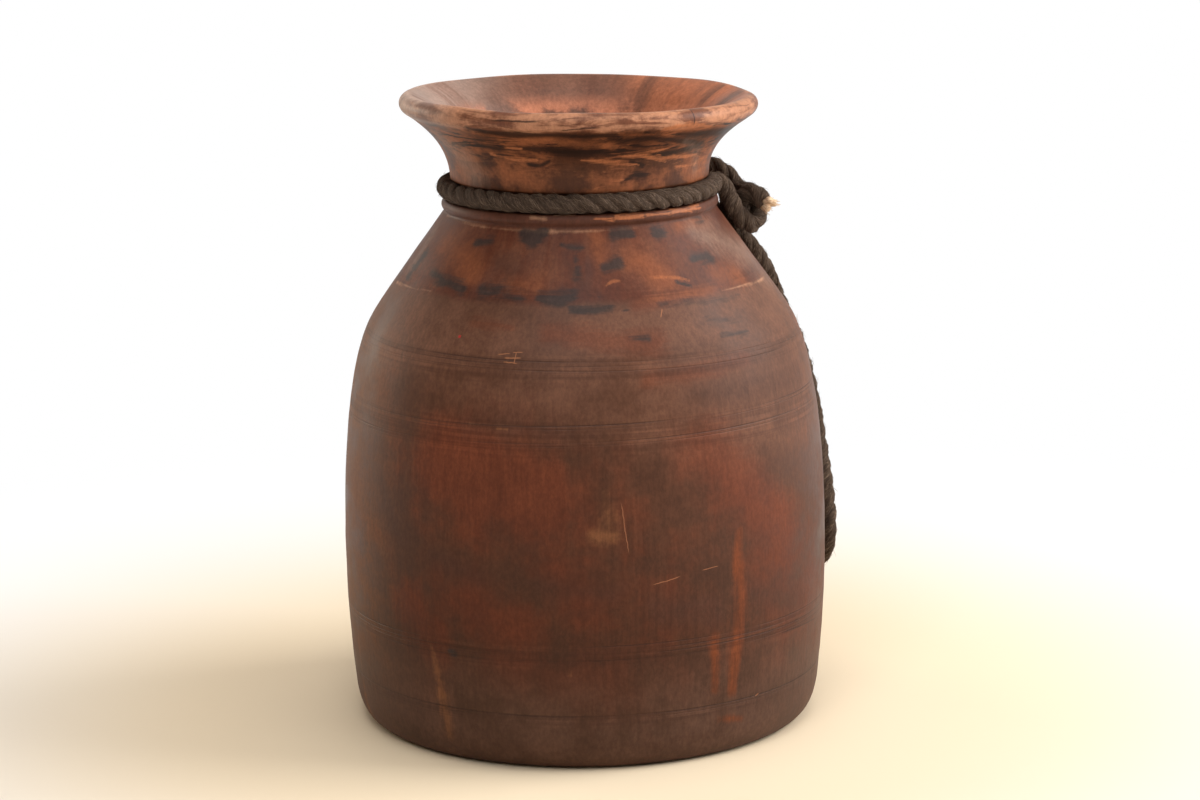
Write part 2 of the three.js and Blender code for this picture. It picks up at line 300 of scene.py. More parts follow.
def laid_strands(first, last):
    """The three strands between two steps of the rope, ridged by their yarns."""
    vertices, faces, yarn, crown = [], [], [], []
    start = 0
    angles = np.linspace(0, math.tau, strand_sides, endpoint=False)
    for which in range(strand_count):
        line, outward = strand_line(which)
        forward = unit(np.gradient(line, axis=0))
        outward = unit(outward - forward * np.sum(outward * forward, axis=1)[:, None])
        across = np.cross(forward, outward)
        lay_angle = math.atan(math.tau * strand_offset / lay_length)
        own_run = rope_run / math.cos(lay_angle)
        yarn_turn = -own_run * math.tan(lay_angle) / (strand_thickness / 2) * yarn_twist
        short_swell = 0.03 * np.sin(rope_run / 0.0031 + which * 1.7)
        long_swell = 0.035 * np.sin(rope_run / 0.0083 + which)
        swell = 1 + short_swell + long_swell
        for i in range(first, last + 1):
            radius = strand_thickness / 2 * swell[i]
            turned = angles + yarn_turn[i]
            ridges = 1 + yarn_ridge * np.cos(yarn_count * turned)
            flats = strand_flatness * np.sin(2 * angles + i * 0.7)
            ridges += flats + dice.normal(0, strand_roughness, strand_sides)
            ring = np.cos(angles)[:, None] * outward[i] + np.sin(angles)[:, None] * across[i]
            vertices.append(line[i] + ring * (radius * ridges)[:, None])
            flat = np.stack([np.cos(turned), np.sin(turned)], axis=1) * radius
            yarn.append(np.column_stack([flat, np.full(strand_sides, own_run[i] + which)]))
            crown.append(np.cos(angles) * 0.5 + 0.5)
        faces += tube_faces(last - first + 1, strand_sides, start)
        start += (last - first + 1) * strand_sides
    return np.vstack(vertices), faces, np.vstack(yarn), np.concatenate(crown), start


def stray_fibres(first, last, count, start):
    """Short thin fibres that lift off the strands, some of them paler."""
    vertices, faces, yarn, paleness = [], [], [], []
    lines = [strand_line(which) for which in range(strand_count)]
    rings, sides = 4, 3
    for number in range(count):
        which = dice.integers(strand_count)
        line, outward = lines[which]
        i = dice.integers(first + 2, last - 2)
        forward = unit(line[i + 1] - line[i - 1]) * dice.choice([-1, 1])
        across = np.cross(forward, outward[i])
        lift = dice.uniform(-1.5, 1.5)
        off = unit(outward[i] * math.cos(lift) + across * math.sin(lift))
        root = line[i] + off * strand_thickness * 0.49
        length = dice.uniform(0.3, 1) * fibre_length
        heading = unit(forward + off * dice.uniform(0.02, 0.3) ** 1.5 + dice.normal(0, 0.16, 3))
        droop = (forward * 0.2 - off * dice.uniform(0.05, 0.3) + dice.normal(0, 0.08, 3)) * length
        for t, turn, rim in tube_points(rings, sides, off, across):
            thin = fibre_thickness * (1 - 0.75 * t)
            vertices.append(root + heading * length * t + droop * t * t + thin * rim)
            yarn.append((number * 0.0031, which, t * 0.002))
        paleness += [dice.choice([0.9, 1.3], p=[0.6, 0.4])] * rings * sides
        faces += tube_faces(rings, sides, start)
        start += rings * sides
    return np.array(vertices), faces, np.array(yarn), np.array(paleness)


def fill(made, inputs):
    """Sets a node's inputs, or joins them to another node's output."""
    for name, value in inputs.items():
        if isinstance(value, bpy.types.NodeSocket):
            tree.links.new(value, made.inputs[name])
        else:
            made.inputs[name].default_value = value


def node(kind, inputs=None, **settings):
    """A new shader node in the tree in hand."""
    made = tree.nodes.new("ShaderNode" + kind)
    for name, value in settings.items():
        setattr(made, name, value)
    fill(made, inputs or {})
    return made


def calc(operation, a, b=0):
    return node("Math", {0: a, 1: b}, operation=operation).outputs[0]


def times(a, b):
    return calc("MULTIPLY", a, b)


def plus(a, b):
    return calc("ADD", a, b)


def minus(a, b):
    return calc("SUBTRACT", a, b)


def fade(value, low, high, to_low=0, to_high=1):
    """Rises smoothly from one value to another between two limits."""
    inputs = {0: value, 1: low, 2: high, 3: to_low, 4: to_high}
    return node("MapRange", inputs, interpolation_type="SMOOTHSTEP").outputs[0]


def blend(amount, a, b):
    """Goes from colour a to colour b as the amount goes from 0 to 1."""
    return node("Mix", {0: amount, 6: a, 7: b}, data_type="RGBA").outputs[2]


def grain(place, stretch, detail=4, rough=0.55, warp=0):
    """Noise drawn out along the directions in which stretch is small."""
    inputs = {
        "Vector": node("Mapping", {"Vector": place, "Scale": stretch}).outputs[0],
        "Scale": 1,
        "Detail": detail,
        "Roughness": rough,
        "Distortion": warp,
    }
    return node("TexNoise", inputs).outputs[0]


def marked(field):
    """The value that a mesh carries on its points under this name."""
    return node("Attribute", attribute_name=field).outputs["Fac"]


def new_finish(name):
    material = bpy.data.materials.new(name)
    material.use_nodes = True
    tree = material.node_tree
    surface = tree.nodes["Principled BSDF"]
    return material, tree, surface


def dress(colour, roughness, shine):
    """Colour, roughness and shine of the surface in hand."""
    fill(surface, {"Base Color": colour, "Roughness": roughness, "Specular IOR Level": shine})


def raise_grain(height, strength, distance):
    bump = node("Bump", {"Height": height, "Strength": strength, "Distance": distance})
    fill(surface, {"Normal": bump.outputs[0]})


dark_fibre = (0.032, 0.0195, 0.0125, 1)
brown_fibre = (0.104, 0.064, 0.041, 1)
worn_fibre = (0.27, 0.185, 0.125, 1)
groove_painted_shade = (0.012, 0.008, 0.006, 1)

dark_rope, tree, surface = new_finish("dark_rope")
yarn_place = node("Attribute", attribute_name="yarn").outputs["Vector"]
crown_height = marked("crown")
fibres = grain(yarn_place, (1700, 1700, 260), detail=5, rough=0.75, warp=1.1)
patches = grain(yarn_place, (260, 260, 120), detail=3)
colour = blend(fade(fibres, 0.36, 0.62), dark_fibre, brown_fibre)
worn_amount = times(fade(fibres, 0.52, 0.66), fade(patches, 0.36, 0.62))
worn_amount = times(worn_amount, fade(crown_height, 0.3, 0.95))
colour = blend(worn_amount, colour, worn_fibre)
colour = blend(fade(crown_height, 1, 1.3, 0, 0.7), colour, worn_fibre)
# Painted shade darkens the inner sides of the strands, in the grooves of the rope.
colour = blend(fade(crown_height, 0.5, 0, 0, 0.5), colour, groove_painted_shade)
dress(colour, 0.9, 0.25)
raise_grain(fibres, 1, 0.0011)


def rope_piece(name, first, last, fibre_count):
    vertices, faces, yarn, crown, start = laid_strands(first, last)
    loose, loose_faces, loose_yarn, paleness = stray_fibres(first, last, fibre_count, start)
    fields = {
        "yarn": np.vstack([yarn, loose_yarn]),
        "crown": np.concatenate([crown, paleness]),
    }
    return piece_from(name, np.vstack([vertices, loose]), faces + loose_faces, dark_rope, fields)


# Neck rope
# The stretch that grips the pot: the half knot on the right of the shoulder and one turn in the groove.
neck_rope = rope_piece("laid_neck_rope", 0, knee_step, 5200)
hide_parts("neck_rope")
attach(neck_rope, "rope_on_neck")


# Carrying loop
# The free stretch: a long loop that hangs down the belly, whose far end is tucked behind the knot.
# Its piece starts just below the knot.
loop_rope = rope_piece("laid_carrying_loop", knee_step, len(whole_rope) - 1, 4200)
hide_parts("carrying_loop", "tucked_end")
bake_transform(loop_rope)


# Frayed end
# Where the rope was cut, its strands have opened out and show their bare fibre, tan and undyed.
tip_length = 0.0062
tip_spread = 0.52
tip_lift = 0.55
tip_fibres = 20
tip_fibre_thickness = 0.00022
tan_fibre = (0.56, 0.36, 0.21, 1)
pale_fibre = (0.74, 0.54, 0.36, 1)
singed_fibre = (0.055, 0.032, 0.02, 1)

bare_fibre, tree, surface = new_finish("frayed_fibre")
yarn_place = node("Attribute", attribute_name="yarn").outputs["Vector"]
along_tip = marked("crown")
fibres = grain(yarn_place, (3600, 3600, 120), detail=3)
colour = blend(fade(fibres, 0.35, 0.62), tan_fibre, pale_fibre)
colour = blend(fade(fibres, 0.4, 0.3), colour, singed_fibre)
colour = blend(fade(along_tip, 0.42, 0.05, 0, 0.95), colour, singed_fibre)
dress(colour, 0.9, 0.25)
raise_grain(fibres, 0.6, 0.0004)


def frayed_strands():
    vertices, faces, yarn, along = [], [], [], []
    start = 0
    out_of_end = unit(-rope_tangent[0] + np.array([0.3, 0, tip_lift]))
    for which in range(strand_count):
        line, outward = strand_line(which)
        off = unit(outward[0] - out_of_end * outward[0].dot(out_of_end))
        heading = unit(out_of_end + off * tip_spread)
        across = unit(np.cross(heading, off))
        off = np.cross(across, heading)
        rings, sides = 9, 12
        for t, turn, rim in tube_points(rings, sides, off, across):
            radius = strand_thickness / 2 * (0.72 - 0.2 * t * t)
            middle = line[0] + heading * (tip_length * 0.86 * t - 0.0008)
            ridge = 1 + 0.05 * math.cos(4 * turn + which)
            vertices.append(middle + rim * radius * ridge)
            yarn.append((radius * math.cos(turn), radius * math.sin(turn), t * tip_length + which))
            along.append(t)
        faces += tube_faces(rings, sides, start)
        start += rings * sides
        for number in range(tip_fibres):
            distance = math.sqrt(dice.uniform(0.05, 1)) * strand_thickness * 0.34
            turn = dice.uniform(0, math.tau)
            place = math.cos(turn) * off + math.sin(turn) * across
            root = line[0] + place * distance + heading * dice.uniform(0, 0.002)
            aim = unit(heading + place * dice.uniform(-0.05, 0.16) + dice.normal(0, 0.04, 3))
            length = tip_length * dice.uniform(0.5, 0.84)
            for t, turn, rim in tube_points(4, 4, off, across):
                thick = tip_fibre_thickness * (1 - 0.55 * t)
                vertices.append(root + aim * length * t + rim * thick)
                yarn.append((number * 0.013, turn / math.tau * 0.0008, t * length + which))
                along.append(0.15 + 0.85 * t)
            faces += tube_faces(4, 4, start)
            start += 16
    fields = {"yarn": np.array(yarn), "crown": np.array(along)}
    return piece_from("frayed_strands", vertices, faces, bare_fibre, fields)


frayed_end = frayed_strands()
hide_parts("frayed_end")
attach(frayed_end, "rope_on_neck")


# Pot shape
# Turned outside and in from one block of hardwood on a simple lathe, then stained. Its outline is the
# solid's own, with the slight waves and flats that hand turning and wear leave.
foot_radius = 0.116
heel = (0.1274, 0.018)
belly = (0.1316, 0.092)
shoulder = (0.1164, 0.216)
slope_foot = (0.0997, 0.2415)
slope_top = (0.0729, 0.2786)
seat = (seat_radius, seat_height)
seat_round = 0.0057
lip = (0.0913, 0.3348)
lip_round = 0.0052
wall = 0.011
floor_height = 0.018
floor_radius = 0.094
floor_corner = 0.018
throat_radius = 0.058
throat_length = 0.017
steps_round = 400
collar_height = 0.2776
lip_tilt = 0.0017
left_fullness = 0.0004
worn_off = 0.00028
long_wave = 0.00016
short_wave = 0.00005
tool_wave = 0.00004
rim_wave = 0.0003


def bezier(steps, *corners):
    t = np.linspace(0, 1, steps + 1)[:, None]
    level = [np.array(corner) + 0 * t for corner in corners]
    while len(level) > 1:
        level = [a + (b - a) * t for a, b in zip(level, level[1:])]
    return level[0]


def arc(steps, centre, radius, start, end):
    turn = np.radians(np.linspace(start, end, steps + 1))
    return np.stack([centre[0] + radius * np.cos(turn), centre[1] + radius * np.sin(turn)], axis=1)


seat_arc = arc(18, seat, seat_round, -80, -245)
lip_arc = arc(16, lip, lip_round, -60, 115)
slope_run = np.subtract(slope_top, slope_foot)
inward = np.array([-slope_run[1], slope_run[0]]) / np.linalg.norm(slope_run)
hollow_slope_foot = slope_foot + inward * wall
hollow_slope_top = slope_top + inward * wall
throat_top = (throat_radius, seat[1] + seat_round * 2)
throat_foot = (throat_radius, throat_top[1] - throat_length)
hollow_shoulder = (shoulder[0] - wall, shoulder[1] - wall / 2)
hollow_belly = (belly[0] - wall, belly[1])
corner_top = (floor_radius + floor_corner, floor_height + floor_corner * 0.75)
belly_reach = (belly[1] - heel[1]) * 0.4
upper_reach = (shoulder[1] - belly[1]) * 0.42
neck_foot, neck_top = seat_arc[-1], lip_arc[0]
funnel_top = lip_arc[-1]
below_shoulder = (shoulder[0] + 0.0116, shoulder[1] - 0.027)
above_throat = (throat_top[0] + 0.007, lip[1] - 0.0078)
above_hollow_shoulder = (hollow_shoulder[0] - 0.002, hollow_shoulder[1] + 0.009)
below_hollow_shoulder = (hollow_belly[0] - 0.0035, shoulder[1] - 0.042)
above_hollow_belly = (hollow_belly[0], hollow_belly[1] + upper_reach)
below_hollow_belly = (hollow_belly[0], hollow_belly[1] - belly_reach)
above_corner = (corner_top[0] + 0.005, corner_top[1] + 0.014)
floor_edge = (floor_radius, floor_height)
outer_stretches = [
    bezier(6, (0, 0), (foot_radius, 0)),
    bezier(12, (foot_radius, 0), (heel[0] - 0.0026, 0.002), heel),
    bezier(36, heel, (heel[0] + 0.0022, heel[1] + 0.02), (belly[0], belly[1] - belly_reach), belly),
    bezier(72, belly, (belly[0] + 0.0002, belly[1] + upper_reach), below_shoulder, shoulder),
    bezier(16, shoulder, (shoulder[0] - 0.0023, shoulder[1] + 0.0058), slope_foot),
    bezier(36, slope_foot, slope_top),
    bezier(10, slope_top, (slope_top[0] + 0.0034, (slope_top[1] + seat_arc[0][1]) / 2), seat_arc[0]),
    seat_arc,
    bezier(40, neck_foot, neck_foot + (0.0004, 0.0123), (neck_foot[0] + 0.0064, lip[1] - 0.0158), neck_top),
    lip_arc,
]
inner_stretches = [
    bezier(26, funnel_top, funnel_top - (0.009, 0.0042), above_throat, throat_top),
    bezier(4, throat_top, throat_foot),
    bezier(6, throat_foot, (throat_radius, (throat_foot[1] + hollow_slope_top[1]) / 2), hollow_slope_top),
    bezier(6, hollow_slope_top, hollow_slope_foot),
    bezier(6, hollow_slope_foot, above_hollow_shoulder, hollow_shoulder),
    bezier(14, hollow_shoulder, below_hollow_shoulder, above_hollow_belly, hollow_belly),
    bezier(8, hollow_belly, below_hollow_belly, above_corner, corner_top),
    bezier(6, corner_top, (floor_radius + floor_corner * 0.65, floor_height), floor_edge),
    bezier(5, floor_edge, (0, floor_height)),
]
outer_outline = np.vstack([stretch[1:] for stretch in outer_stretches])
inner_outline = np.vstack([stretch[1:] for stretch in inner_stretches])[:-1]
pot_outline = np.vstack([outer_outline, inner_outline])
outer_rows = len(outer_outline)


def slow_waves(angle, height, seed, count, finest_turn, finest_height):
    """Smooth unevenness round and up the pot, between about -1 and 1."""
    chance = np.random.default_rng(seed)
    total = np.zeros(np.broadcast(angle, height).shape)
    for _ in range(count):
        turns = chance.integers(0, finest_turn + 1)
        rise = chance.uniform(0.2, 1) * math.tau / finest_height * chance.choice([-1, 1])
        total += np.sin(turns * angle + rise * height + chance.uniform(0, math.tau))
    return total / math.sqrt(count)


angles = np.linspace(0, math.tau, steps_round, endpoint=False)[None, :]
radii = pot_outline[:, :1]
heights = pot_outline[:, 1:]
on_wall = np.clip(np.minimum(heights / 0.012, (collar_height - heights) / 0.01), 0, 1)
on_lip = np.clip((heights - 0.3285) / 0.004, 0, 1)
on_neck = np.clip((heights - 0.2975) / 0.006, 0, 1)
long_waves = slow_waves(angles, heights, 3, 9, 4, 0.12)
short_waves = slow_waves(angles, heights, 5, 12, 11, 0.03)
tool_waves = slow_waves(angles, heights, 8, 10, 2, 0.011)
uneven = -worn_off + long_wave * long_waves + short_wave * short_waves + tool_wave * tool_waves
uneven = uneven * (on_wall + on_neck)
rim_waves = slow_waves(angles, 0 * heights, 13, 8, 9, 0.1)
on_left = np.clip(-np.cos(angles), 0, 1) ** 2
near_shoulder = np.clip((heights - 0.165) / 0.04, 0, 1) * np.clip((collar_height - heights) / 0.02, 0, 1)
near_lip = np.clip((heights - 0.306) / 0.022, 0, 1)
pot_radii = radii + uneven + left_fullness * on_left * near_shoulder
pot_radii = pot_radii - on_lip * np.clip(0.0002 + 0.0002 * rim_waves, 0, 1)
pot_heights = heights - near_lip * lip_tilt * np.cos(angles) - on_lip * rim_wave * rim_waves
pot_grid = np.stack([pot_radii * np.cos(angles), pot_radii * np.sin(angles), pot_heights], axis=-1)
row_count = len(pot_outline)
foot_middle = row_count * steps_round
floor_middle = foot_middle + 1
pot_vertices = np.vstack([pot_grid.reshape(-1, 3), [(0, 0, 0), (0, 0, floor_height)]])
pot_faces = []
for i in range(row_count - 1):
    for j in range(steps_round):
        k = (j + 1) % steps_round
        a, b = i * steps_round, (i + 1) * steps_round
        pot_faces.append((a + j, a + k, b + k, b + j))
last_row = (row_count - 1) * steps_round
for j in range(steps_round):
    k = (j + 1) % steps_round
    pot_faces.append((foot_middle, k, j))
    pot_faces.append((floor_middle, last_row + j, last_row + k))


# Marks on the pot
# Blots of soot, dark streaks of stain, places where the stain is thin or rubbed off, and pale films that
# are partly dust and partly painted sheen. Each row is a
# soft stroke: its strength, then for each point its angle in degrees from the right towards the back, its
# height and half width in millimetres. Those on the far side, out of sight, are made up in the same way.
soot_strokes = [
    (0.95, -113, 275, 3.5, -109, 273, 4.5, -105, 275.5, 3),
    (1, -77, 275, 4, -70, 275, 3.5),
    (0.9, -59, 274, 4.5, -56, 274, 4),
    (0.6, -133, 269, 3, -126, 271, 3),
    (0.6, -97, 270, 2, -90, 268.5, 3),
    (0.9, -82, 259, 3, -77, 261, 3.5),
    (0.8, -47, 260, 3.5, -39, 258.5, 4),
    (0.4, -35, 276, 4, -31, 276, 4),
    (0.8, -163, 248, 7, -161, 258, 6),
    (1, -149, 252, 4, -141, 250, 5, -130, 247, 3.5),
    (0.6, -123, 246.5, 4.5, -116, 246.5, 6, -109, 245, 5),
    (1, -103, 245.5, 3, -97, 245, 4.5, -92, 247, 4),
    (1, -93, 240, 2.6, -87, 240, 3.6, -81, 240.5, 2.4),
    (0.8, -78, 239, 1, -76, 239, 1),
    (0.8, -88, 247, 1, -84, 245.5, 1),
    (0.6, -92, 264, 3, -91, 256, 4),
    (0.4, -66, 241, 3, -51, 240, 4, -35, 239, 3),
    (0.45, -52, 230, 4, -40, 227, 3),
    (0.8, -58, 250, 1, -53, 247, 1),
    (0.8, -77, 226, 2, -72, 225, 3),
    (0.6, -50, 223, 2, -40, 222, 3),
    (0.9, -123, 62, 2.5, -122, 61, 2.5),
    (0.9, 58, 265, 4, 66, 264, 6),
    (0.8, 84, 251, 3, 94, 250, 5),
    (0.8, 110, 270, 4, 118, 269, 4),
    (0.9, 134, 248, 3, 147, 249, 5),
    (0.8, 157, 266, 5, 162, 264, 4),
    (0.6, 174, 256, 4, 182, 255, 4),
    (0.7, 72, 239, 2, 86, 240, 3),
    (0.7, 99, 225, 2, 112, 226, 3),
]
dark_strokes = [
    (1, -128, 330, 1.5, -114, 328, 2.5, -100, 329, 2, -89, 328, 2.5, -78, 329, 1.5),
    (1, -131, 320, 1.5, -122, 319, 1.5, -112, 320, 1.5, -102, 320, 3.5),
    (1, -102, 320, 3.5, -91, 318, 4, -79, 318, 2.5),
    (0.9, -80, 327, 2, -75, 325, 3, -65, 326, 2, -49, 322, 2, -36, 319, 2),
    (1, -74, 317, 1, -64, 314, 2, -50, 315, 2, -36, 318, 2),
    (0.9, -111, 311, 1, -106, 310, 1.5, -102, 313, 1),
    (0.9, -72, 301, 1.5, -66, 304, 3, -61, 303, 3),
    (0.9, -69, 312, 1.5, -63, 309, 1.5),
    (0.7, -126, 110, 9, -115, 104, 8),
    (0.6, -100, 102, 9, -85, 97, 8),
    (0.6, -52, 90, 8, -30, 76, 10),
    (0.6, -68, 214, 10, -48, 211, 13, -26, 208, 11),
    (0.8, -62, 196, 9, -42, 195, 10, -22, 193, 9),
    (0.9, -73, 86, 9, -60, 83, 9),
    (0.5, -50, 30, 12, -30, 28, 12),
    (0.9, -55, 327, 2, -38, 325, 3.5, -16, 322, 4),
    (0.5, -117, 185, 8, -100, 182, 10, -86, 178, 8),
    (0.6, -146, 146, 8, -138, 117, 10),
    (0.6, -95, 262, 5, -90, 252, 6),
    (0.4, -121, 262, 6, -112, 257, 6),
    (1, 70, 326, 2, 92, 328, 3, 116, 325, 2),
    (1, 100, 317, 2, 128, 315, 3, 150, 318, 1.5),
    (0.9, 30, 322, 2, 48, 318, 2, 64, 319, 1),
    (0.9, 160, 328, 1.5, 176, 325, 2.5, 190, 328, 1),
    (0.6, 60, 130, 12, 74, 100, 14),
    (0.5, 120, 170, 12, 140, 150, 14),
    (0.5, -10, 150, 12, 6, 110, 14),
]
orange_strokes = [
    (0.9, -127, 315.5, 1, -117, 313.5, 1.5, -107, 313.5, 1),
    (0.9, -122, 319, 0.8, -112, 319.5, 0.8),
    (1, -89, 314, 0.8, -78, 312.5, 1.8, -65, 309.5, 0.8),
    (1, -73, 315, 0.8, -63, 316, 1.8, -50, 320, 0.8),
    (1, -66, 315, 0.8, -55, 312.5, 1.8, -33, 311.5, 1),
    (0.8, -61, 318, 0.6, -56, 314, 1.2, -52, 310, 0.6),
    (0.5, -84, 298, 0.8, -71, 302, 1.2),
    (0.9, -63, 331, 1.5, -54, 332, 2, -43, 330, 1.5),
    (0.6, -45, 306, 1.2, -30, 305, 1.2),
    (0.8, -84, 283, 1, -77, 282, 1.5),
    (1, -75, 283, 1.5, -64, 283, 1.5),
    (0.9, -62, 283, 1, -51, 283, 1),
    (1, -50, 283.5, 1.5, -32, 283, 1.5),
    (1, -82, 251, 0.8, -79.5, 253, 1.2, -77, 252.5, 0.8),
    (0.9, -66, 253.5, 0.8, -57, 252, 1, -53, 250, 0.8),
    (0.9, -52, 123, 3, -53, 108, 4.5, -52, 86, 6.5, -53, 65, 6, -54, 37, 5),
    (0.75, -59.5, 67, 4.5, -59, 39, 3.5),
    (0.6, -57, 22, 4, -51, 20, 3),
    (0.8, 72, 150, 2, 71, 115, 4, 72, 80, 2),
    (0.9, 70, 314, 1, 92, 312, 2, 112, 314, 1),
    (0.9, 128, 310, 1, 150, 312, 2),
    (0.9, 10, 312, 1, 30, 314, 2),
    (0.8, 60, 283, 1.5, 90, 283, 1.5),
    (0.8, 120, 282.5, 1.5, 160, 283, 1.5),
    (0.7, 100, 262, 8, 124, 258, 8),
]
pale_strokes = [
    (1, -110, 283.5, 1.5, -104, 283, 1.5),
    (0.6, -101, 285, 0.8, -92, 285, 0.8),
    (0.5, -165, 277.5, 1, -141, 277, 1.2, -121, 276.5, 1.5, -96, 276.5, 1.5, -66, 277, 0.8),
    (0.7, -172, 241.5, 0.8, -144, 243.5, 0.8),
    (0.3, -144, 243.5, 0.6, -125, 242, 0.6, -101, 243, 0.6),
    (0.7, -44, 243, 0.7, -32, 242.5, 0.9, -9, 241, 0.8),
    (0.6, -85.6, 151, 3.5, -85.2, 141, 7.5, -84.9, 132, 9),
    (0.95, -87.6, 127.5, 5.5, -83.6, 127, 5.5),
    (0.45, -130.5, 69, 1, -128, 60, 3.5, -126, 36, 5.5, -125, 15, 6),
    (0.45, -162, 64, 2, -162, 30, 4, -160, 6, 5),
    (0.4, -134.5, 158, 1, -134.5, 112, 1.2),
    (0.5, -94, 67, 1.5, -94, 54, 2),
    (0.8, -118, 183, 0.8, -115, 183, 0.8),
    (0.7, -111, 182, 0.8, -108, 181.5, 0.8),
    (0.7, 60, 243, 1, 90, 242, 1, 120, 243, 1),
    (0.6, 40, 176, 1.5, 41, 150, 4, 42, 130, 2),
    (0.7, 118, 80, 1.5, 119, 55, 4.5, 120, 25, 5),
    (0.5, 20, 277, 1, 80, 276.5, 1.5, 150, 277, 1),
]
red_strokes = [
    (1, -121, 164, 16, -110, 145, 20, -99, 136, 16),
    (0.9, -119, 91, 14, -106, 77, 14),
    (1, -60, 168, 14, -49, 138, 18, -35, 99, 18),
    (0.8, -106, 56, 14, -87, 46, 14),
    (0.7, -98, 112, 12, -92, 96, 12),
    (0.7, -135, 84, 10, -127, 68, 10),
    (0.8, -25, 80, 18, -8, 60, 18),
    (1, 30, 150, 24, 60, 110, 24),
    (1, 95, 170, 20, 110, 120, 26),
    (0.9, 150, 150, 24, 170, 100, 24),
    (0.8, 80, 60, 20, 130, 50, 20),
    (0.6, -170, 150, 16, -165, 110, 16),
    (1, -150, 266, 9, -136, 262, 10, -130, 256, 9),
    (0.5, -112, 250, 6, -104, 251, 6),
    (0.7, -84, 276, 6, -83, 262, 6),
    (0.6, -70, 262, 10, -62, 252, 9),
    (0.6, -46, 276, 5, -34, 275, 5),
    (0.8, -40, 249, 7, -29, 247, 6),
    (0.9, -99, 229, 5, -84, 225, 6, -70, 222, 6),
    (0.4, -122, 232, 3, -110, 231, 3),
    (0.6, -74, 206, 4, -58, 208, 5, -44, 210, 4),
    (0.8, -74, 241, 3, -60, 243, 3, -44, 244, 3),
    (0.8, 60, 262, 10, 84, 256, 10),
    (0.8, 118, 262, 9, 140, 254, 10),
]
# Pale grey films, partly dust and partly painted sheen on the edges of the neck and shoulder.
dust_and_sheen_strokes = [
    (0.9, -154, 320, 8, -146, 310, 12, -142, 301, 11),
    (0.5, -168, 268, 5, -166, 252, 7),
    (0.8, -40, 271, 6, -22, 262, 12, -8, 252, 14),
    (0.3, -48, 322, 3, -34, 314, 5, -30, 303, 5),
    (0.5, 20, 262, 12, 44, 255, 10),
    (0.4, 150, 310, 8, 172, 306, 8),
]
mark_angles = np.degrees(angles)
millimetre = 0.001


def stroke_field(strokes):
    """How deep each place lies in a stroke: a half at its edge, and its strength in its middle."""
    field = np.zeros((row_count, steps_round))
    for strength, *places in strokes:
        points = np.reshape(places, (-1, 3))
        for (a0, h0, w0), (a1, h1, w1) in zip(points, points[1:]):
            from_start = (mark_angles - a0 + 180) % 360 - 180
            across = np.radians(from_start) * radii
            up = heights - h0 * millimetre + 0 * mark_angles
            run_across = math.radians(a1 - a0) * radii + 0 * mark_angles
            run_up = (h1 - h0) * millimetre
            length = run_across ** 2 + run_up ** 2
            t = np.clip((across * run_across + up * run_up) / length, 0, 1)
            distance = np.hypot(across - t * run_across, up - t * run_up)
            width = (w0 + (w1 - w0) * t) * millimetre
            depth = np.clip(1 - 0.5 * distance / width, 0, 1) * (0.5 + 0.5 * strength)
            field = np.maximum(field, depth)
    field[outer_rows:] = 0
    return np.append(field, [0, 0])


inside_rows = np.interp(np.arange(row_count), [outer_rows - 4, outer_rows - 1], [0, 1])
pot_fields = {
    "soot": stroke_field(soot_strokes),
    "dark": stroke_field(dark_strokes),
    "orange": stroke_field(orange_strokes),
    "pale": stroke_field(pale_strokes),
    "red": stroke_field(red_strokes),
    "dust_and_sheen": stroke_field(dust_and_sheen_strokes),
    "inside": np.append(np.repeat(inside_rows, steps_round), [0, 1]),
}


# Stained wood
# Red-brown stain over hardwood whose fibres run up the pot, cut round and round by the lathe tool.
# It is thin and orange on the shoulder and neck, dark on the belly, and worn to bare wood on the lip.
belly_red = (0.112, 0.029, 0.0118, 1)
belly_brown = (0.076, 0.0285, 0.014, 1)
belly_dark = (0.05, 0.022, 0.014, 1)
band_brown = (0.12, 0.051, 0.029, 1)
band_red = (0.128, 0.039, 0.018, 1)
side_painted_light_brown = (0.132, 0.049, 0.017, 1)
heel_brown = (0.084, 0.041, 0.027, 1)
shoulder_red = (0.098, 0.0255, 0.0108, 1)
shoulder_tan = (0.122, 0.0415, 0.0205, 1)
shoulder_plum = (0.058, 0.024, 0.019, 1)
shoulder_glow = (0.18, 0.052, 0.019, 1)
collar_brown = (0.084, 0.0285, 0.0155, 1)
neck_golden = (0.225, 0.072, 0.0275, 1)
neck_brown = (0.088, 0.029, 0.012, 1)
neck_dark = (0.018, 0.0075, 0.0045, 1)
lip_tan = (0.37, 0.165, 0.088, 1)
lip_brown = (0.15, 0.053, 0.027, 1)
lip_reflection_pale = (0.38, 0.26, 0.2, 1)
hollow_tan = (0.15, 0.066, 0.041, 1)
hollow_brown = (0.108, 0.043, 0.026, 1)
hollow_sheen_pale = (0.26, 0.17, 0.132, 1)
hollow_red = (0.385, 0.128, 0.06, 1)
hollow_orange = (0.39, 0.142, 0.074, 1)
soot_black = (0.03, 0.021, 0.018, 1)
flame_orange = (0.36, 0.12, 0.046, 1)
streak_orange = (0.138, 0.034, 0.01, 1)
shoulder_orange = (0.25, 0.078, 0.028, 1)
dust_and_sheen_grey = (0.235, 0.15, 0.108, 1)
bare_tan = (0.36, 0.18, 0.1, 1)
faded_tan = (0.178, 0.068, 0.027, 1)
line_black = (0.03, 0.014, 0.009, 1)
half_dark = (0.45, 0.45, 0.45, 1)
nearly_dark = (0.9, 0.9, 0.9, 1)


def dim(colour, factor):
    return node("VectorMath", {0: colour, "Scale": factor}, operation="SCALE").outputs[0]


def sway(noise, reach):
    """Noise brought to lie about zero."""
    return times(minus(noise, 0.5), reach)


stained_wood, tree, surface = new_finish("stained_wood")
place = node("TexCoord").outputs["Object"]
rightward, backward, height = node("SeparateXYZ", {0: place}).outputs
inside = marked("inside")
outside = minus(1, inside)

